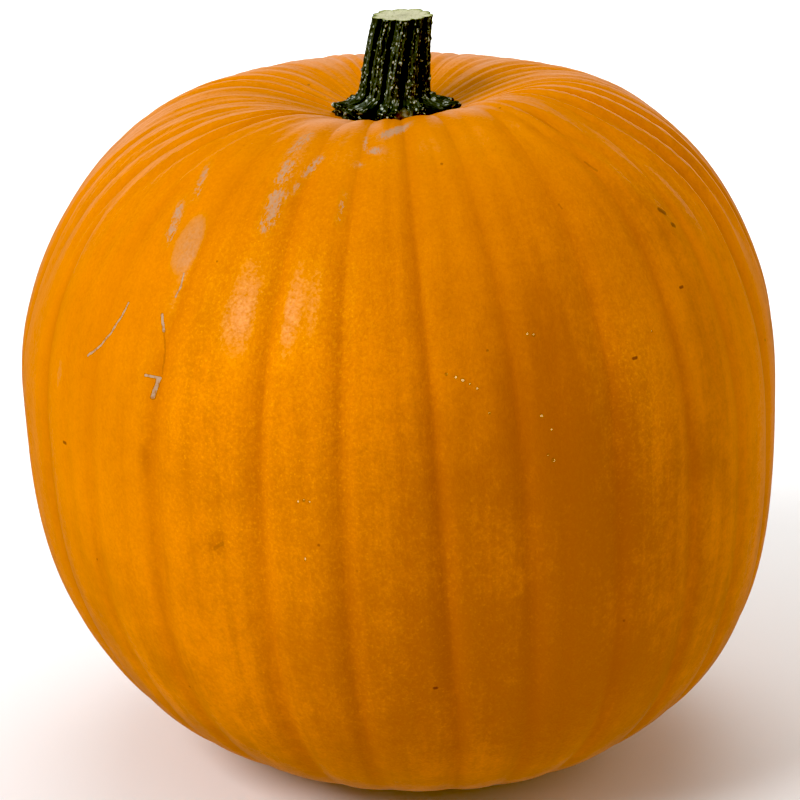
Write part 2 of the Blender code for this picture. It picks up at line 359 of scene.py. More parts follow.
# Where a thin dry film of wax lies on the skin, where the skin shines more, and where it is dull.
FILM_PATCHES = (
    (-38.0, 126.0, 2.8, 5.4, 1.00),
    (-43.5, 131.0, 2.0, 4.0, 0.40),
    (-24.5, 139.0, 3.6, 8.0, 0.30),
)
SHINY_PATCHES = (
    (-24.0, 113.0, 3.6, 7.5, 1.00),
    (-16.0, 112.5, 4.2, 9.0, 1.00),
    (-36.0, 126.0, 4.0, 7.0, 0.50),
)
DULL_PATCHES = (
    (-5.5, 114.0, 4.0, 16.0, 1.00),
    (-30.5, 116.0, 2.4, 12.0, 0.60),
)
# Behind, where the photograph shows nothing, patches and scars lie at random within these ranges,
# in the same order as above.
BACK_PATCHES = 7
BACK_PATCH_RANGES = ((100, 260), (60, 130), (8, 18), (10, 24), (0.2, 0.6))
BACK_SCARS = 11
BACK_SCAR_RANGES = ((85, 275), (95, 150), (1.5, 5.0), (0.7, 1.6), (-25, 25), (0.4, 0.85))


def scattered(draw, count, ranges):
    """Rows of random values, each value within its range."""
    return [[draw.uniform(*each) for each in ranges] for _ in range(count)]


def patchwork(azimuth, climb, patches, draw, behind=BACK_PATCHES):
    """How much of a kind of patch is there, 0 to 1: those seen from the front, and some behind."""
    back = scattered(draw, behind, BACK_PATCH_RANGES)
    total = np.zeros(np.broadcast(azimuth, climb).shape)
    for side, middle, half_width, half_height, strength in (*patches, *back):
        aside, above = turn_from(side, azimuth) / half_width, (climb - middle) / half_height
        total += strength * np.exp(-(aside ** 2) - above ** 2)
    return np.minimum(total, 1)


def scarring(azimuth, climb, draw):
    """How scarred the skin is, 0 to 1: the scars seen from the front, and a few more round the back."""
    back = scattered(draw, BACK_SCARS, BACK_SCAR_RANGES)
    total = np.zeros(np.broadcast(azimuth, climb).shape)
    for side, middle, half_length, half_width, slant, cover in (*SCARS, *back):
        away, up, tilt = turn_from(side, azimuth), climb - middle, math.radians(slant)
        lengthwise = up * math.cos(tilt) - away * math.sin(tilt)
        crosswise = away * math.cos(tilt) + up * math.sin(tilt)
        spot = np.exp(-((lengthwise / half_length) ** 4) - (crosswise / half_width) ** 2)
        total = np.maximum(total, cover * spot)
    return total


def ring_climbs():
    """The climb of each ring of the skin, one of them at the edge of the flat spot."""
    lowest = math.degrees(math.asin(FIRST_RING_RADIUS / HALF_WIDTH))
    highest = 180 - math.degrees(math.asin(LAST_RING_RADIUS / HALF_WIDTH))
    climb = np.linspace(lowest, highest, SKIN_RINGS)
    climb[np.argmin(abs(climb - FLAT_EDGE))] = FLAT_EDGE
    return climb[:, None]


def rib_columns():
    """The furrows left and right of each column of the skin, and its share of the way between them."""
    cuts = furrows()
    beyond = cuts[1:] + [(cuts[0][0] + 360, *cuts[0][1:])]
    left, right = (np.repeat(np.array(row), STEPS_IN_RIB, axis=0) for row in (cuts, beyond))
    step = np.tile(np.arange(STEPS_IN_RIB) / STEPS_IN_RIB, RIBS)
    return left, right, step - FURROW_CLOSENESS * np.sin(2 * math.pi * step) / (2 * math.pi)


def furrow_fade(azimuth, climb, reach):
    """The share of its depth that a furrow has: less at the rim, and none by the stem and at the foot."""
    frontal = np.maximum(0, np.cos(np.radians(azimuth))) ** 2
    at_rim = FADE_AT_BACK_RIM + (FADE_AT_FRONT_RIM - FADE_AT_BACK_RIM) * frontal
    fade_up = 1 - (1 - at_rim) * smooth_step(*FADE_TO_RIM, climb)
    fade_up = fade_up * smooth_step(*FADE_IN_BASIN, reach)
    return np.where(climb > 90, fade_up, smooth_step(*FADE_AT_FOOT, reach) ** FOOT_FADE_POWER)


def pleating(azimuth, climb, draw):
    """The height of the pleats, and how far a place is on the pleated shoulder, 0 to 1."""
    behind = smooth_step(*BEHIND, np.cos(np.radians(azimuth)))
    bent = azimuth + PLEAT_BEND * smooth_step(*BEND_CLIMBS, climb) * np.sin(np.radians(2 * azimuth))
    least, most = (math.cos(math.radians(angle)) for angle in (PLEATED_FROM, PLEATED_FULLY))
    sideways = smooth_step(least, most, np.cos(np.radians(bent))) * (1 - LOSS_BEHIND * behind)
    shoulder = smooth_step(*PLEATS_BEGIN, climb) * smooth_step(*PLEATS_END, climb)
    shoulder = shoulder * (PLEATS_IN_FRONT + (1 - PLEATS_IN_FRONT) * sideways)
    pleats = waves(draw, bent, climb, PLEAT_DEPTH, *BROAD_PLEATS)
    pleats = pleats + waves(draw, bent, climb, FINE_PLEAT_SHARE * PLEAT_DEPTH, *FINE_PLEATS)
    breaks = smooth_step(*BREAK_RANGE, waves(draw, azimuth, climb, 1.0, *PLEAT_BREAKS))
    pleats = pleats * shoulder * (0.5 + 0.5 * breaks)
    return np.minimum(pleats, HIGHEST_PLEAT * PLEAT_DEPTH), shoulder


def side_folds(azimuth, climb):
    """The height of the narrow folds near the left edge."""
    folds = 0.0
    for side, slant, low, high, height in SIDE_FOLDS:
        away = azimuth - side - slant * (climb - low)
        along = smooth_step(low - FOLD_BEYOND, low + FOLD_WITHIN, climb)
        along = along * smooth_step(high + FOLD_BEYOND, high - FOLD_WITHIN, climb)
        folds = folds + height * np.exp(-((away / FOLD_WIDTH) ** 2)) * along
    return folds


def build_skin(finish):
    """The fruit's whole skin: ribs, minor furrows, pleats round the shoulders, and soft lumps."""
    draw = np.random.default_rng(SKIN_SEED)
    left, right, share = rib_columns()
    climb = ring_climbs()
    reach = HALF_WIDTH * np.sin(np.radians(climb))
    rise = -np.cos(np.radians(climb))
    sides = [cut[:, 0] + cut[:, 1] * rise for cut in (left, right)]
    azimuth = sides[0] + (sides[1] - sides[0]) * share
    points = smooth_skin(climb, azimuth)
    outward = outward_of(points)

    nearest = np.minimum(share, 1 - share)
    widening = np.minimum(MOST_WIDENING, HALF_WIDTH / reach)
    groove = np.exp(-((nearest / VALLEY_WIDTH / widening) ** 2))
    hollow = VALLEY_SHARE * groove + (1 - VALLEY_SHARE) * (1 - 2 * nearest) ** 2
    depth = left[:, 2] + (right[:, 2] - left[:, 2]) * share
    fade = furrow_fade(azimuth, climb, reach)
    crease = np.exp(-((nearest / CREASE_WIDTH) ** 2)) * smooth_step(*CREASE_CLIMBS, climb)
    crease = crease * (depth / DEEP_FURROW)
    dip = (depth * hollow + CREASE_DEPTH * crease) * fade

    spans = (MINOR_PLACES, MINOR_SHARES)
    middles, shares = (np.repeat(draw.uniform(*span, RIBS), STEPS_IN_RIB) for span in spans)
    valley = shares * np.exp(-(((share - middles) / MINOR_WIDTH) ** 2)) * fade
    minor = MINOR_DEPTH * valley * (MINOR_BELOW + MINOR_GAIN * smooth_step(*MINOR_CLIMBS, climb))
    pleats, shoulder = pleating(azimuth, climb, draw)
    lumps = waves(draw, azimuth, climb, LUMP_DEPTH, *LUMPS) - LUMP_DEPTH
    lumps = lumps * smooth_step(*FADE_AT_FOOT, reach) ** 2 * smooth_step(*LUMPS_END, climb)
    raised = lumps + side_folds(azimuth, climb) - dip - minor + pleats
    points = points + outward * raised[..., None]

    dimple = SCAR_DEPTH * (1 - smooth_step(BUTTON_RADIUS, SCAR_RADIUS, reach))
    button = BUTTON_HEIGHT * smooth_step(*BUTTON_EDGE, reach)
    points[..., 2] = np.where(climb <= FLAT_EDGE, dimple - button, points[..., 2])
    points = np.clip(points, *CAD_BOX)

    turn = np.radians(azimuth)
    girth = HALF_WIDTH / MM
    # Painted shade for the furrows, creases and valleys between pleats, which the finish reads from
    # rind_form.
    shade = (hollow * (depth / DEEP_FURROW) + CREASE_SHADE * crease) * fade + MINOR_SHADE * valley
    shade = shade + PLEAT_SHADE * smooth_step(*PLEAT_VALLEY, pleats / PLEAT_DEPTH)
    scarred = scarring(azimuth, climb, draw)
    tones = (DARK_AND_SHADED_PATCHES, PALE_PATCHES, GRAIN_AND_GLINT_PATCHES)
    waxes = (FILM_PATCHES, SHINY_PATCHES, DULL_PATCHES)
    maps = {
        "rind_place": vectors(girth * np.sin(turn), -girth * np.cos(turn), girth * np.radians(climb)),
        "rind_form": vectors(shade, scarred, shoulder),
        "rind_tone": vectors(*(patchwork(azimuth, climb, kind, draw) for kind in tones)),
        "rind_wax": vectors(*(patchwork(azimuth, climb, kind, draw, 0) for kind in waxes)),
    }
    piece = mesh_piece("pumpkin_skin", points, finish, maps)
    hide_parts("fruit")


# One degree of azimuth or climb along the skin, in millimetres of the rind's own map.
DEGREE = math.radians(HALF_WIDTH / MM)
# The share of a stroke's half width that is fully covered.
STROKE_CORE = 0.45


class Wire:
    """A value or a vector in a finish. Sums of wires add Math nodes."""

    def __init__(self, finish, socket):
        self.finish = finish
        self.socket = socket

    def math(self, operation, *values):
        """A Math node on these values, in this order."""
        return self.finish.node("ShaderNodeMath", {"operation": operation}, dict(enumerate(values)))

    def __add__(self, other):
        return self.math("ADD", self, other)

    __radd__ = __add__

    def __sub__(self, other):
        return self.math("SUBTRACT", self, other)

    def __rsub__(self, other):
        return self.math("SUBTRACT", other, self)

    def __mul__(self, other):
        return self.math("MULTIPLY", self, other)

    __rmul__ = __mul__

    def __truediv__(self, other):
        return self.math("DIVIDE", self, other)

    def __rtruediv__(self, other):
        return self.math("DIVIDE", other, self)

    def __pow__(self, other):
        return self.math("POWER", self, other)

    def at_most(self, other):
        return self.math("MINIMUM", self, other)

    def at_least(self, other):
        return self.math("MAXIMUM", self, other)

    def part(self, axis):
        """One axis of a vector."""
        return self.finish.node("ShaderNodeSeparateXYZ", {}, {0: self}, axis)


class Finish:
    """One material: a Principled BSDF, and the nodes that feed it."""

    def __init__(self, name, **fixed):
        self.material = bpy.data.materials.new(name)
        self.material.use_nodes = True
        self.tree = self.material.node_tree
        self.shader = self.tree.nodes["Principled BSDF"]
        for socket, value in fixed.items():
            self.shader.inputs[socket.replace("_", " ")].default_value = value

    def node(self, kind, settings, inputs, output=0):
        """Adds a node: its settings first, then the values or wires of its sockets."""
        made = self.tree.nodes.new(kind)
        for name, value in settings.items():
            setattr(made, name, value)
        for socket, value in inputs.items():
            self.feed(made.inputs[socket], value)
        return Wire(self, made.outputs[output])

    def feed(self, socket, value):
        """A wire is linked, and a plain value is set."""
        if isinstance(value, Wire):
            self.tree.links.new(value.socket, socket)
        else:
            socket.default_value = value

    def surface(self, **sockets):
        """What changes over the surface, by the shader's socket names."""
        for socket, value in sockets.items():
            self.feed(self.shader.inputs[socket.replace("_", " ")], value)

    def attribute(self, name):
        return self.node("ShaderNodeAttribute", {"attribute_name": name}, {}, "Vector")

    def stretched(self, place, x, y, z):
        """A place with each axis divided by a size, so that a pattern has that size along it."""
        return self.vector("MULTIPLY", place, (1 / x, 1 / y, 1 / z))

    def noise(self, place, size=1.0, detail=2.0, roughness=0.5):
        """Soft noise from 0 to 1, with patches of about this size."""
        inputs = {"Vector": place, "Scale": 1 / size, "Detail": detail, "Roughness": roughness}
        return self.node("ShaderNodeTexNoise", {}, inputs)

    def cells(self, place, size):
        """The distance to the nearest of scattered points, in cells, and a random colour for each."""
        inputs = {"Vector": place, "Scale": 1 / size}
        distance = self.node("ShaderNodeTexVoronoi", {}, inputs, "Distance")
        return distance, Wire(self, distance.socket.node.outputs["Color"])

    def step(self, low, high, value):
        """0 below low, 1 above high, and an even S between them."""
        inputs = {"Value": value, "From Min": low, "From Max": high}
        return self.node("ShaderNodeMapRange", {"interpolation_type": "SMOOTHSTEP"}, inputs)

    def mix(self, share, first, second):
        """From the first colour at 0 to the second at 1."""
        colours = [c if isinstance(c, Wire) else (*c, 1) for c in (first, second)]
        inputs = {0: share, 6: colours[0], 7: colours[1]}
        return self.node("ShaderNodeMix", {"data_type": "RGBA"}, inputs, 2)

    def bump(self, height):
        """The surface's normal, with a relief whose height is in millimetres."""
        return self.node("ShaderNodeBump", {}, {"Strength": 1.0, "Distance": MM, "Height": height})

    def vector(self, operation, *values, output=0):
        """A Vector Math node on these values, in this order."""
        inputs = dict(enumerate(values))
        return self.node("ShaderNodeVectorMath", {"operation": operation}, inputs, output)

    def away_from(self, spot, start, end):
        """How far a spot is from the straight line between two places on the skin."""
        run = Vector((end[0] - start[0], end[1] - start[1], 0))
        if not run.length:
            return self.vector("DISTANCE", spot, (*start, 0), output="Value")
        aside = self.vector("SUBTRACT", spot, (*start, 0))
        share = self.vector("DOT_PRODUCT", aside, tuple(run / run.length_squared), output="Value")
        share = share.at_least(0).at_most(1)
        inputs = {0: tuple(run), "Scale": share}
        nearest = self.node("ShaderNodeVectorMath", {"operation": "SCALE"}, inputs)
        return self.vector("DISTANCE", aside, nearest, output="Value")

    def strokes(self, spot, chains):
        """1 on strokes along chains of (azimuth, climb), fading out at the half width of each."""
        nearest = None
        for chain, half_width in chains:
            for ends in zip(chain, chain[1:]):
                start, end = [(place[0] * DEGREE, place[1] * DEGREE) for place in ends]
                away = self.away_from(spot, start, end) / half_width
                nearest = away.at_most(nearest) if nearest else away
        return self.step(1, STROKE_CORE, nearest)


# Colours, as linear light.
ORANGE = (0.64, 0.190, 0.0005)
DEEP_AND_SHADED_ORANGE = (0.45, 0.124, 0.0005)
LIGHT_ORANGE = (0.76, 0.226, 0.001)
FURROW_SHADE_ORANGE = (0.42, 0.105, 0.0005)
DARK_GRAIN = (0.46, 0.116, 0.0005)
SPECK_AND_GLINT_YELLOW = (0.95, 0.39, 0.02)
DRY_SCAR = (0.36, 0.22, 0.15)
PALE_SCAR = (0.47, 0.30, 0.20)
SCRATCH_EDGE = (0.27, 0.080, 0.006)
PIT_BROWN = (0.16, 0.028, 0.002)
FLECK_GLINT = (0.86, 0.50, 0.22)

# Thin scratches, each a chain of (azimuth, climb) and a half width in millimetres.
SCRATCHES = (
    (((-45.5, 115.0), (-46.0, 113.0), (-47.5, 110.0), (-50.0, 107.2), (-52.0, 105.5)), 0.72),
    (((-36.5, 121.2), (-36.2, 119.2), (-36.5, 117.5)), 0.5),
    (((-38.0, 114.5), (-37.0, 112.2)), 0.85),
    (((-38.8, 105.3), (-36.2, 105.3)), 0.8),
    (((-36.5, 105.1), (-36.7, 104.0), (-37.1, 102.4)), 1.4),
)
# Short dark cracks, in the same form.
CRACKS = (
    (((44.0, 137.6), (45.2, 135.6)), 0.9),
    (((32.0, 131.4), (32.2, 130.6)), 0.6),
    (((-26.8, 86.6), (-25.4, 87.2)), 0.6),
    (((-37.0, 112.2), (-36.1, 109.5), (-36.0, 106.0)), 0.5),
)
# Dark pits, in the same form.
PITS = (
    (((53.6, 125.9), (54.5, 125.2)), 1.7),
    (((54.7, 123.0), (55.2, 122.8)), 1.5),
    (((49.6, 113.8), (50.2, 113.8)), 0.8),
    (((36.5, 106.2), (37.1, 106.2)), 0.8),
    (((3.8, 71.0), (4.2, 71.0)), 0.8),
    (((-57.3, 91.0), (-56.7, 91.0)), 0.8),
)

# Small flecks where the skin is broken, each a painted glint in a dark edge: azimuth, climb and radius in
# millimetres.
GLINTING_FLECKS = (
    (7.2, 108.0, 0.8),
    (8.5, 107.5, 0.8),
    (9.5, 107.0, 0.9),
    (10.5, 106.4, 0.6),
    (11.5, 105.7, 0.7),
    (13.5, 110.8, 0.6),
    (13.0, 102.2, 0.6),
    (19.8, 112.5, 0.9),
    (20.8, 112.2, 0.9),
    (20.5, 101.0, 0.9),
    (21.0, 95.8, 0.7),
    (21.8, 95.0, 0.9),
    (21.8, 99.0, 0.6),
    (41.0, 109.2, 0.6),
    (-13.2, 86.8, 0.6),
    (-13.8, 91.0, 0.6),
    (-13.0, 91.2, 0.7),
    (-12.2, 91.1, 0.5),
)

# Sizes of the rind's patterns in millimetres. Where there are three, the last one is up the fruit.
PATCH_SIZE = 42
STREAK_SIZE = (6, 6, 90)
MOTTLE_SIZE = 7
GRAIN_SIZE = 1.3
FLECK_SIZE = 2.6
SPECK_SPACING = 1.6
PORE_SPACING = 13
FLAKE_SIZE = (1.3, 1.3, 2.6)
FINE_PLEAT_SIZE = (2.2, 2.2, 60)
# How far the edges of strokes wander, in millimetres.
STROKE_WANDER = 1.6
# Painted shade: the rind's colour is darker below its belly, and less so again near its foot.
PAINTED_SHADE_BELOW = (104 * DEGREE, 40 * DEGREE)
PAINTED_SHADE_EASES_BELOW = (54 * DEGREE, 34 * DEGREE)
RIND_SHINE = 0.22
RIND_TINT = (1, 0.45, 0.08, 1)
RIND_ROUGHNESS = 0.42
WAX_ROUGHNESS = 0.3


def rind_finish():
    """Waxy orange rind with streaks, painted shade in furrows and low down, grain, specks and flecks
    partly painted as glints, scars and small marks.
    """
    rind = Finish("pumpkin_rind", Specular_IOR_Level=RIND_SHINE, Specular_Tint=RIND_TINT)
    rind.shader.inputs["Coat Roughness"].default_value = WAX_ROUGHNESS
    place = rind.attribute("rind_place")
    form = rind.attribute("rind_form")
    furrow, scarred, shoulder = (form.part(axis) for axis in range(3))
    broad = rind.attribute("rind_tone")
    dark, pale, grained = (broad.part(axis) for axis in range(3))
    waxes = rind.attribute("rind_wax")
    film, shiny, dull = (waxes.part(axis) for axis in range(3))
    solid = rind.stretched(rind.node("ShaderNodeTexCoord", {}, {}, "Object"), MM, MM, MM)

    # Tone, from broad patches down to the grain.
    patches = rind.noise(solid, PATCH_SIZE, 2, 0.6)
    streaks = rind.noise(rind.stretched(place, *STREAK_SIZE), 1, 2, 0.6)
    mottle = rind.noise(solid, MOTTLE_SIZE, 4, 0.7)
    grain = rind.noise(solid, GRAIN_SIZE, 2, 0.65)
    flecked = rind.noise(solid, FLECK_SIZE, 3, 0.7)
    tone = patches * 0.7 + streaks * 0.5 + mottle * 0.5 + flecked * 0.3 - 1.00
    height = place.part(2)
    # Painted shade, darker below the belly and less so near the foot.
    low = rind.step(*PAINTED_SHADE_BELOW, height) - rind.step(*PAINTED_SHADE_EASES_BELOW, height) * 0.8
    # Painted shade from the broad dark patches and the darkening low down, mixed with the skin's own
    # random darker tone.
    shaded = dark * (mottle * 0.25 + 0.44) + low * 0.26
    colour = rind.mix(rind.step(-0.1, 0.66, shaded - tone), ORANGE, DEEP_AND_SHADED_ORANGE)
    colour = rind.mix(rind.step(0.0, 0.6, tone + pale * 0.5), colour, LIGHT_ORANGE)
    # Painted shade in the furrows, creases and valleys between pleats.
    colour = rind.mix((furrow * 0.6).at_most(0.6), colour, FURROW_SHADE_ORANGE)
    golden = (grained * 0.8 + patches * 0.6 - 0.15).at_least(0.12).at_most(1)
    colour = rind.mix(rind.step(0.54, 0.34, grain) * (golden * 0.08 + 0.08), colour, DARK_GRAIN)

    # Yellow specks: partly the skin's own, partly painted glints where the grain is golden.
    cell, chance = rind.cells(solid, SPECK_SPACING)
    specks = rind.step(0.33, 0.1, cell) * rind.step(0.25, 0.7, chance.part(0))
    specks = specks * rind.step(0.36, 0.56, mottle) * 0.32 + rind.step(0.5, 0.7, grain) * 0.18
    colour = rind.mix((specks * golden).at_most(0.8), colour, SPECK_AND_GLINT_YELLOW)

    # Dry scars, and a film of wax round them.
    ragged = rind.noise(rind.stretched(place, *FLAKE_SIZE), 1, 4, 0.75)
    broken = ragged * 0.6 + mottle * 0.25 + grain * 0.15
    flakes = rind.step(0.86, 0.95, scarred * 0.46 + broken)
    haze = rind.step(0.2, 0.9, scarred) * rind.step(0.40, 0.56, broken) * 0.22
    haze = haze + rind.step(0.25, 0.62, film * (mottle * 0.5 + 0.75)) * (ragged * 0.3 + 0.12)
    dry = rind.mix(grain, DRY_SCAR, PALE_SCAR)
    colour = rind.mix((flakes * 0.58 + haze).at_most(0.8), colour, dry)

    # Scratches, cracks, pits, and flecks with painted glints, by azimuth and climb.
    turn = place.math("ARCTAN2", place.part(0), place.part(1) * -1)
    across = turn * (HALF_WIDTH / MM) + (ragged - 0.5) * STROKE_WANDER
    spot = rind.node("ShaderNodeCombineXYZ", {}, {0: across, 1: height})
    scratches = rind.strokes(spot, SCRATCHES) * rind.step(0.24, 0.4, ragged)
    colour = rind.mix(rind.step(0.02, 0.4, scratches) * 0.75, colour, SCRATCH_EDGE)
    flesh = rind.step(0.5, 0.95, scratches) * (0.35 + rind.step(0.36, 0.5, grain) * 0.65)
    colour = rind.mix(flesh, colour, dry)
    pore, chance = rind.cells(solid, PORE_SPACING)
    pores = rind.step(0.055, 0.03, pore) * rind.step(0.55, 0.7, chance.part(1))
    colour = rind.mix(rind.strokes(spot, CRACKS) * 0.45, colour, SCRATCH_EDGE)
    dark_marks = rind.strokes(spot, PITS).at_least(pores * 0.7)
    colour = rind.mix(dark_marks * 0.85, colour, PIT_BROWN)
    flecks = rind.strokes(spot, [((place, place), radius) for *place, radius in GLINTING_FLECKS])
    colour = rind.mix(rind.step(0.02, 0.3, flecks) * 0.75, colour, SCRATCH_EDGE)
    # A painted glint in the middle of each fleck.
    colour = rind.mix(rind.step(0.6, 0.95, flecks) * rind.step(0.4, 0.56, grain), colour, FLECK_GLINT)

    # Relief, roughness and wax.
    pleats = rind.noise(rind.stretched(place, *FINE_PLEAT_SIZE), 1, 2, 0.55)
    relief = grain * (grained * 0.10 + 0.12) + mottle * 0.42 + pleats * (shoulder * 0.25 + 0.03)
    roughness = RIND_ROUGHNESS + patches * 0.10 + flakes * 0.25
    patchy = rind.step(0.32, 0.60, grain * 0.6 + mottle * 0.4)
    wax = patchy * 0.16 + 0.05 + shiny * (patchy * 0.12 + 0.02) + film * 0.1
    wax = (wax * (1 - dull * 0.85) * (1 - (furrow * 1.3).at_most(0.9))).at_most(0.5)
    rind.surface(Base_Color=colour, Roughness=roughness, Coat_Weight=wax, Normal=rind.bump(relief))
    return rind.material


# The stem, as in the frame.
STEM_TOP = 300 * MM
SHAFT_RADIUS_AT_CUT = 12.4 * MM
SHAFT_TAPER = 2.9 * MM
SHAFT_BOW = 2.75 * MM
BOW_POWER = 2.3
RIDGES = 10
FIRST_GROOVE = -21.0
STEM_TWIST = 14.0
GROOVE_DEPTH = 3.7 * MM
SMALL_RIDGE_DROP = 0.9 * MM
RIDGE_BREADTH = 0.62
FOOT_RADIUS = 19.0 * MM
ROOT_REACHES = np.array((4.0, 0.5, 9.5, 5.0, 3.0, 1.5, 5.0, 2.0, 5.5, 7.5)) * MM
FOOT_FLARE = 9.0 * MM
FLARE_POWER = 4
GROOVE_LOSS_IN_FOOT = 0.5
GROOVE_PINCH_IN_FOOT = 0.2
CUT_TILT = 0.03

# The fine stem: columns in a ridge, rings of its shaft and cut, and its finer relief.
STEPS_IN_RIDGE = 34
SHAFT_RINGS = 150
RING_CLOSENESS = 1.25
CUT_RINGS = 26
CUT_SHARES = (0.06, 0.97)
BURIED_RADIUS = 9 * MM
SINK = 1.3 * MM
GROOVE_LOSS_AT_CUT = 0.3
# The part of the shaft where grooves get shallower, the cut's tilt begins, and the relief ends.
SHALLOWER = (0.90, 1.0)
TILTED = (0.8, 1.0)
RELIEF_ENDS = (1.0, 0.985)
# Waves of the bark and the cut: how many, how many folds round the stem, and how fast they run up it.
RIDGELETS = (12, (20, 46), (-6, 6))
KNOBS = (10, (9, 34), (20, 90))
CUT_FIBRES = (16, (9, 60), (-30, 30))
RIDGELET_DEPTH = 0.45 * MM
RIDGELETS_IN_GROOVE = 0.35
KNOB_HEIGHT = 0.75 * MM
KNOBS_END = (0.32, 0.05)
# What is taken off the waves and the warts, so that the bark stays inside the smooth stem.
RIDGELET_SINK = 0.7
KNOB_SINK = 0.8
WART_SINK = 0.2
FIBRE_HEIGHT = 0.16 * MM
HIGHEST_FIBRE = 0.3 * MM
CUT_LIP = 0.5 * MM
# Warts: their radii in millimetres, their strengths, and the beta spread that crowds them low down.
WARTS = 520
WART_HEIGHT = 0.6 * MM
WART_RADII = (0.45, 1.1)
WART_STRENGTHS = (0.4, 1.0)
WART_SPREAD = (0.8, 1.4)
# The stem's usual radius and height, in millimetres, and those of its own map.
USUAL_RADIUS = 15
USUAL_HEIGHT = 42
MAP_RADIUS = 14.0
MAP_CUT_HEIGHT = 12
STEM_SEED = 5


def floor_point(reach, azimuth):
    """A point of the basin's floor, reach out from the fruit's middle line."""
    climb = 180 - np.degrees(np.arcsin(reach / HALF_WIDTH))
    return smooth_skin(climb, azimuth)


def stem_side(azimuth, groove, drop, root, climb):
    """Points of the shaft and foot: climb is 0 at the basin's floor and 1 at the cut."""
    floor = floor_point(1e-6, 0.0)
    tall = STEM_TOP - floor[2]
    up = tall * climb
    spread = np.exp(-((up / FOOT_FLARE) ** FLARE_POWER))
    dent = GROOVE_DEPTH * groove * (1 - GROOVE_LOSS_IN_FOOT * spread)
    dent = dent * (1 - GROOVE_LOSS_AT_CUT * smooth_step(*SHALLOWER, climb))
    plain = SHAFT_RADIUS_AT_CUT + SHAFT_TAPER * (1 - climb) - dent - drop
    reach = plain + (root - plain) * spread * (1 - GROOVE_PINCH_IN_FOOT * groove)
    turn = np.radians(azimuth + STEM_TWIST * (climb - 0.5))
    seat = floor_point(reach, azimuth)[..., 2] - floor[2]
    across = floor[0] + reach * np.sin(turn) + SHAFT_BOW * climb ** BOW_POWER
    height = floor[2] + up + seat * spread
    height = height + CUT_TILT * (across - floor[0]) * smooth_step(*TILTED, climb)
    return vectors(across, floor[1] - reach * np.cos(turn), height)


def bark_waves(draw, azimuth, climb, count, folds, runs):
    """A sum of waves round the stem that run up it at random slants."""
    total = 0.0
    for _ in range(count):
        angle = draw.integers(*folds) * np.radians(azimuth) + draw.uniform(*runs) * climb
        total = total + np.sin(angle + draw.uniform(0, 7))
    return total / math.sqrt(count)


def bark_relief(azimuth, climb, crown, draw):
    """The height of the bark's ridgelets, warts and knobs, and how far a place is on a wart, 0 to 1."""
    ridgelets = bark_waves(draw, azimuth, climb, *RIDGELETS)
    warts = np.zeros_like(ridgelets)
    for _ in range(WARTS):
        side, place = draw.uniform(-180, 180), draw.beta(*WART_SPREAD)
        radius = draw.uniform(*WART_RADII) * MM
        away = turn_from(side, azimuth) * math.radians(USUAL_RADIUS * MM)
        up = (climb - place) * USUAL_HEIGHT * MM
        bump = np.exp(-(away ** 2 + up ** 2) / radius ** 2)
        warts = np.maximum(warts, bump * draw.uniform(*WART_STRENGTHS))
    across = RIDGELETS_IN_GROOVE + (1 - RIDGELETS_IN_GROOVE) * crown
    relief = (ridgelets - RIDGELET_SINK) * RIDGELET_DEPTH * across + (warts - WART_SINK) * WART_HEIGHT
    knobs = bark_waves(draw, azimuth, climb, *KNOBS)
    return relief + KNOB_HEIGHT * (knobs - KNOB_SINK) * smooth_step(*KNOBS_END, climb), warts


def build_stem(finish):
    """The cut stem: ten ridges with ridgelets and warts, a foot of roots, and a fibrous cut."""
    draw = np.random.default_rng(STEM_SEED)
    step = np.tile(np.arange(STEPS_IN_RIDGE) / STEPS_IN_RIDGE, RIDGES)
    ridge = np.repeat(np.arange(RIDGES), STEPS_IN_RIDGE)
    azimuth = FIRST_GROOVE + 360 / RIDGES * (ridge + step)
    crown = (4 * step * (1 - step)) ** RIDGE_BREADTH
    drop = SMALL_RIDGE_DROP * (ridge % 2) * crown
    root = FOOT_RADIUS + ROOT_REACHES[ridge] * crown

    climb = (np.linspace(0, 1, SHAFT_RINGS) ** RING_CLOSENESS)[:, None]
    side = stem_side(azimuth, 1 - crown, drop, root, climb)
    relief, warts = bark_relief(azimuth, climb, crown, draw)
    side = side + outward_of(side) * (relief * smooth_step(*RELIEF_ENDS, climb))[..., None]

    buried = np.array([floor_point(reach, azimuth) for reach in (BURIED_RADIUS, root)])
    buried[..., 2] -= SINK
    rim = side[-1]
    inward = np.linspace(*CUT_SHARES, CUT_RINGS)[:, None]
    cut = rim * (1 - inward[..., None]) + rim.mean(0) * inward[..., None]
    fibres = np.minimum(waves(draw, azimuth, inward * 180, FIBRE_HEIGHT, *CUT_FIBRES), HIGHEST_FIBRE)
    cut[..., 2] += fibres * smooth_step(1.0, 0.7, inward) - CUT_LIP * smooth_step(0.0, 0.3, inward)
    grid = np.clip(np.concatenate([buried, side, cut]), *CAD_BOX)

    # The form's last axis is 0 on the bark, and runs from 1 at the cut's rim to 2 at its middle.
    turn = np.radians(azimuth)
    below = np.zeros((len(buried), 1))
    up_cut = USUAL_HEIGHT + inward * MAP_CUT_HEIGHT
    heights = np.concatenate([below, climb * USUAL_HEIGHT, up_cut])
    on_cut = np.concatenate([below, 0 * climb, 1 + 0.999 * inward])
    lumps = np.concatenate([below + 0 * azimuth, warts, np.zeros(cut.shape[:2])])
    maps = {
        "stem_place": vectors(MAP_RADIUS * np.sin(turn), -MAP_RADIUS * np.cos(turn), heights),
        "stem_form": vectors(1 - crown, lumps, on_cut),
    }
    piece = mesh_piece("pumpkin_stem", grid, finish, maps)
    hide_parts("stem")


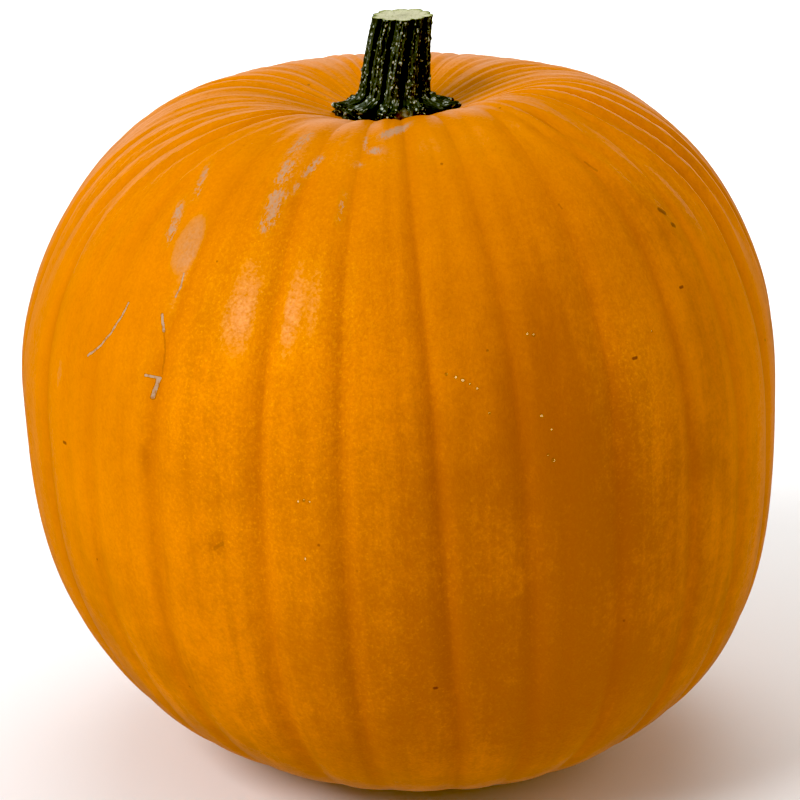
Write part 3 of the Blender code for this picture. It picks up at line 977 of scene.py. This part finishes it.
# Colours, as linear light, and sizes of the bark's patterns in millimetres.
BARK_BLACK_AND_GROOVE_SHADE = (0.0045, 0.0062, 0.0030)
BARK_GREEN = (0.020, 0.028, 0.025)
RIDGE_GREEN = (0.082, 0.108, 0.086)
WART_PALE = (0.58, 0.64, 0.56)
CUT_CREAM = (0.60, 0.59, 0.40)
CUT_RIM = (0.30, 0.34, 0.10)
DRY_ROOT = (0.36, 0.30, 0.19)
FIBRE_SIZE = (0.8, 0.8, 7)
BARK_MOTTLE_SIZE = 1.6
BARK_SPECK_SPACING = (0.9, 0.9, 1.5)
CUT_GRAIN_SIZE = 0.8
BARK_SHINE = 0.2
BARK_ROUGHNESS = 0.5
# How far right of the stem's middle its one dry root is, in millimetres.
DRY_ROOT_AT = 4.2


def stem_finish():
    """Near-black green bark with paler ridges and warts, painted shade in its grooves, and a cream cut
    with a green rim.
    """
    bark = Finish("stem_bark", Specular_IOR_Level=BARK_SHINE)
    place = bark.attribute("stem_place")
    form = bark.attribute("stem_form")
    groove, warts, cut = (form.part(axis) for axis in range(3))
    solid = bark.stretched(bark.node("ShaderNodeTexCoord", {}, {}, "Object"), MM, MM, MM)

    # Bark, with painted shade in its grooves.
    fibres = bark.noise(bark.stretched(place, *FIBRE_SIZE), 1, 3, 0.6)
    mottle = bark.noise(solid, BARK_MOTTLE_SIZE, 4, 0.75)
    height = place.part(2)
    foot = bark.step(12, 2, height)
    green = bark.step(0.36, 0.58, fibres * 0.6 + mottle * 0.4 - foot * 0.12)
    colour = bark.mix(green, BARK_BLACK_AND_GROOVE_SHADE, BARK_GREEN)
    raised = bark.step(0.55, 0.05, groove)
    streaks = raised * bark.step(0.46, 0.62, fibres * 0.5 + mottle * 0.5 - foot * 0.06)
    colour = bark.mix(streaks * 0.8, colour, RIDGE_GREEN)
    cell, chance = bark.cells(bark.stretched(place, *BARK_SPECK_SPACING), 1)
    specks = bark.step(0.46, 0.24, cell) * bark.step(0.30, 0.5, chance.part(0))
    specks = specks * bark.step(0.42, 0.56, mottle)
    pale = bark.step(0.5, 0.85, warts) * bark.step(0.44, 0.56, mottle)
    colour = bark.mix((pale * 0.9 + specks * raised).at_most(0.95), colour, WART_PALE)
    # Painted shade: the grooves turn near black.
    colour = bark.mix(bark.step(0.45, 0.85, groove) * 0.92, colour, BARK_BLACK_AND_GROOVE_SHADE)
    dry = bark.step(2.6, 0.6, ((place.part(0) - DRY_ROOT_AT) ** 2) ** 0.5) * bark.step(9, 2, height)
    dry = dry * bark.step(0, -2, place.part(1)) * bark.step(0.30, 0.5, mottle)
    colour = bark.mix(dry * 0.85, colour, DRY_ROOT)

    # The cut.
    on_cut = bark.step(0.5, 0.6, cut)
    grain = bark.noise(solid, CUT_GRAIN_SIZE, 3, 0.7)
    edge = bark.step(1.18, 1.04, cut + (grain - 0.5) * 0.25)
    cream = bark.mix(edge, CUT_CREAM, CUT_RIM)
    cream = bark.mix(bark.step(0.48, 0.7, grain) * 0.45, cream, CUT_RIM)
    colour = bark.mix(on_cut, colour, cream)
    relief = fibres * 0.3 + mottle * 0.3 + specks * 0.15
    bark.surface(Base_Color=colour, Roughness=mottle * 0.25 + BARK_ROUGHNESS, Normal=bark.bump(relief))
    return bark.material


# The photograph's view: a long lens, a little above the pumpkin.
VIEW_DISTANCE = 1.2
VIEW_ELEVATION = 18.5
VIEW_AIM = 0.144
VIEW_LENS = 134.8
SENSOR_WIDTH = 36

# The soft lights that face the pumpkin's middle: azimuth, elevation, distance, width, height, power
# in watts, and colour.
WHITE = (1, 1, 1)
WARM = (1.0, 0.80, 0.55)
SOFT_LIGHTS = {
    "key_light": (-50, 38, 2.6, 1.1, 1.1, 51, WHITE),
    "top_light": (0, 80, 2.6, 1.8, 1.8, 7.5, WHITE),
    "side_light": (88, 26, 2.4, 1.6, 1.6, 8, WARM),
    "back_light": (180, 17, 2.4, 4.2, 1.1, 17, WHITE),
    "low_light_left": (-72, 5, 2.0, 0.8, 0.8, 5.4, WHITE),
    "low_light_right": (78, 5, 2.0, 0.8, 0.8, 4.0, WARM),
}
# A light that shines straight down on the floor behind the pumpkin.
FLOOR_LIGHT_AT = (0.2, 1.7, 2.3)
FLOOR_LIGHT_SIZE = 2.2
FLOOR_LIGHT_POWER = 26
FLOOR_LIGHT_SPREAD = 75
WORLD_LIGHT = 0.30
FLOOR_HALF_WIDTH = 6.0
PAPER_DARK = (0.86, 0.87, 0.88)
PAPER_PALE = (0.89, 0.90, 0.91)
# The even haze of light that the picture's black point takes off: red, green and blue.
VEIL = (0.018, 0.018, 0.038)


def face_pumpkin(thing, azimuth, elevation, distance):
    """Puts a light or the camera at a distance from the pumpkin's middle, and turns it to there."""
    turn, tilt = math.radians(azimuth), math.radians(elevation)
    away = Vector((math.sin(turn) * math.cos(tilt), -math.cos(turn) * math.cos(tilt), math.sin(tilt)))
    thing.location = Vector((0, 0, VIEW_AIM)) + away * distance
    thing.rotation_euler = (-away).to_track_quat("-Z", "Y").to_euler()


def soft_light(name, width, height, watts, colour):
    """A rectangular light."""
    lamp = bpy.data.lights.new(name, "AREA")
    lamp.shape = "RECTANGLE"
    lamp.size = width
    lamp.size_y = height
    lamp.energy = watts
    lamp.color = colour
    body = bpy.data.objects.new(name, lamp)
    bpy.context.scene.collection.objects.link(body)
    return body


def build_studio():
    """A plain pale floor, a key light from the front left, weaker ones elsewhere, and the camera."""
    scene = bpy.context.scene
    floor_mesh = bpy.data.meshes.new("floor")
    signs = ((-1, -1), (1, -1), (1, 1), (-1, 1))
    corners = [(FLOOR_HALF_WIDTH * x, FLOOR_HALF_WIDTH * y, 0) for x, y in signs]
    floor_mesh.from_pydata(corners, [], [(0, 1, 2, 3)])
    paper = Finish("pale_paper", Roughness=0.9, Specular_IOR_Level=0.1)
    grain = paper.noise(paper.node("ShaderNodeTexCoord", {}, {}, "Object"), 0.4, 2, 0.5)
    paper.surface(Base_Color=paper.mix(grain, PAPER_DARK, PAPER_PALE))
    floor_mesh.materials.append(paper.material)
    floor = bpy.data.objects.new("floor", floor_mesh)
    scene.collection.objects.link(floor)
    # Reflected at a grazing angle, the pale floor would bleach the fruit's edges.
    floor.visible_glossy = False

    for name, (azimuth, elevation, distance, *lamp) in SOFT_LIGHTS.items():
        face_pumpkin(soft_light(name, *lamp), azimuth, elevation, distance)
    floor_light = soft_light("floor_light", FLOOR_LIGHT_SIZE, FLOOR_LIGHT_SIZE, FLOOR_LIGHT_POWER, WHITE)
    floor_light.location = FLOOR_LIGHT_AT
    floor_light.data.spread = math.radians(FLOOR_LIGHT_SPREAD)
    world = bpy.data.worlds.new("studio")
    world.use_nodes = True
    background = world.node_tree.nodes["Background"]
    background.inputs["Color"].default_value = (1, 1, 1, 1)
    background.inputs["Strength"].default_value = WORLD_LIGHT
    scene.world = world
    view = scene.view_settings
    view.view_transform = "Standard"
    view.use_curve_mapping = True
    view.curve_mapping.black_level = VEIL
    view.curve_mapping.update()

    lens = bpy.data.cameras.new("camera")
    lens.lens = VIEW_LENS
    lens.sensor_width = SENSOR_WIDTH
    camera = bpy.data.objects.new("camera", lens)
    face_pumpkin(camera, 0, VIEW_ELEVATION, VIEW_DISTANCE)
    scene.collection.objects.link(camera)
    scene.camera = camera


build_studio()
build_skin(rind_finish())
build_stem(stem_finish())
